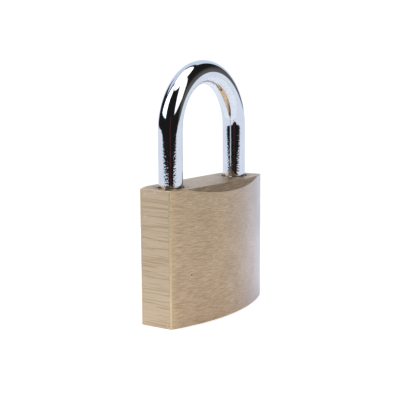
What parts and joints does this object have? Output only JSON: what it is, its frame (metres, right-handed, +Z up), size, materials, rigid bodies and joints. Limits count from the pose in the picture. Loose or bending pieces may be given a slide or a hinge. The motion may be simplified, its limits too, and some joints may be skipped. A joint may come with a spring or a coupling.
{
  "type": "padlock",
  "caption": "Solid-body padlock with a bowed front and back, a closed round-wire shackle and a keyed pin-tumbler cylinder that draws in two bolts.",
  "frame": {"origin": "centre of the body's base", "axes": "+X across the body from the heel leg to the toe leg, +Y through its thickness to the back, +Z up along the legs"},
  "size_m": [0.04, 0.0168, 0.0611],
  "materials": {
    "body_brass": "brushed solid brass",
    "plug_brass": "machined brass",
    "shackle_chrome": "chrome plated steel",
    "lock_steel": "plain turned steel",
    "spring_steel": "drawn spring wire"
  },
  "bodies": {
    "case": {"body": "body_brass", "shackle_retaining_pin": "body_brass", "plug_retaining_pin": "lock_steel", "bolt_bore_plug": "body_brass", "bolt_spring": "spring_steel", "driver_pin_1": "plug_brass", "driver_pin_2": "plug_brass", "driver_pin_3": "plug_brass", "driver_pin_4": "plug_brass", "driver_pin_5": "plug_brass", "pin_spring_1": "spring_steel", "pin_spring_2": "spring_steel", "pin_spring_3": "spring_steel", "pin_spring_4": "spring_steel", "pin_spring_5": "spring_steel", "chamber_cap_1": "body_brass", "chamber_cap_2": "body_brass", "chamber_cap_3": "body_brass", "chamber_cap_4": "body_brass", "chamber_cap_5": "body_brass"},
    "rotor": {"plug": "plug_brass", "cam": "lock_steel", "key_pin_1": "plug_brass", "key_pin_2": "plug_brass", "key_pin_3": "plug_brass", "key_pin_4": "plug_brass", "key_pin_5": "plug_brass"},
    "toe_latch": {"toe_bolt": "lock_steel"},
    "heel_latch": {"heel_bolt": "lock_steel"},
    "bow": {"shackle": "shackle_chrome", "heel_spring": "spring_steel"}
  },
  "joints": [
    {"name": "plug_turn", "type": "hinge", "parent": "case", "child": "rotor", "pos_m": [0, 0, 0], "axis": [0, 0, 1], "range_deg": [-90, 0]},
    {"name": "toe_bolt_slide", "type": "slide", "parent": "case", "child": "toe_latch", "axis": [1, 0, 0], "range_m": [0, 0.00177], "deforming": ["bolt_spring"]},
    {"name": "heel_bolt_slide", "type": "slide", "parent": "case", "child": "heel_latch", "axis": [-1, 0, 0], "range_m": [0, 0.00177]},
    {"name": "shackle_lift", "type": "slide", "parent": "case", "child": "bow", "axis": [0, 0, 1], "range_m": [0, 0.0109], "deforming": ["heel_spring"]}
  ],
  "couplings": [
    {"joint": "toe_bolt_slide", "follows": "plug_turn", "m_per_rad": -0.0011254},
    {"joint": "heel_bolt_slide", "follows": "plug_turn", "m_per_rad": -0.0011254}
  ]
}
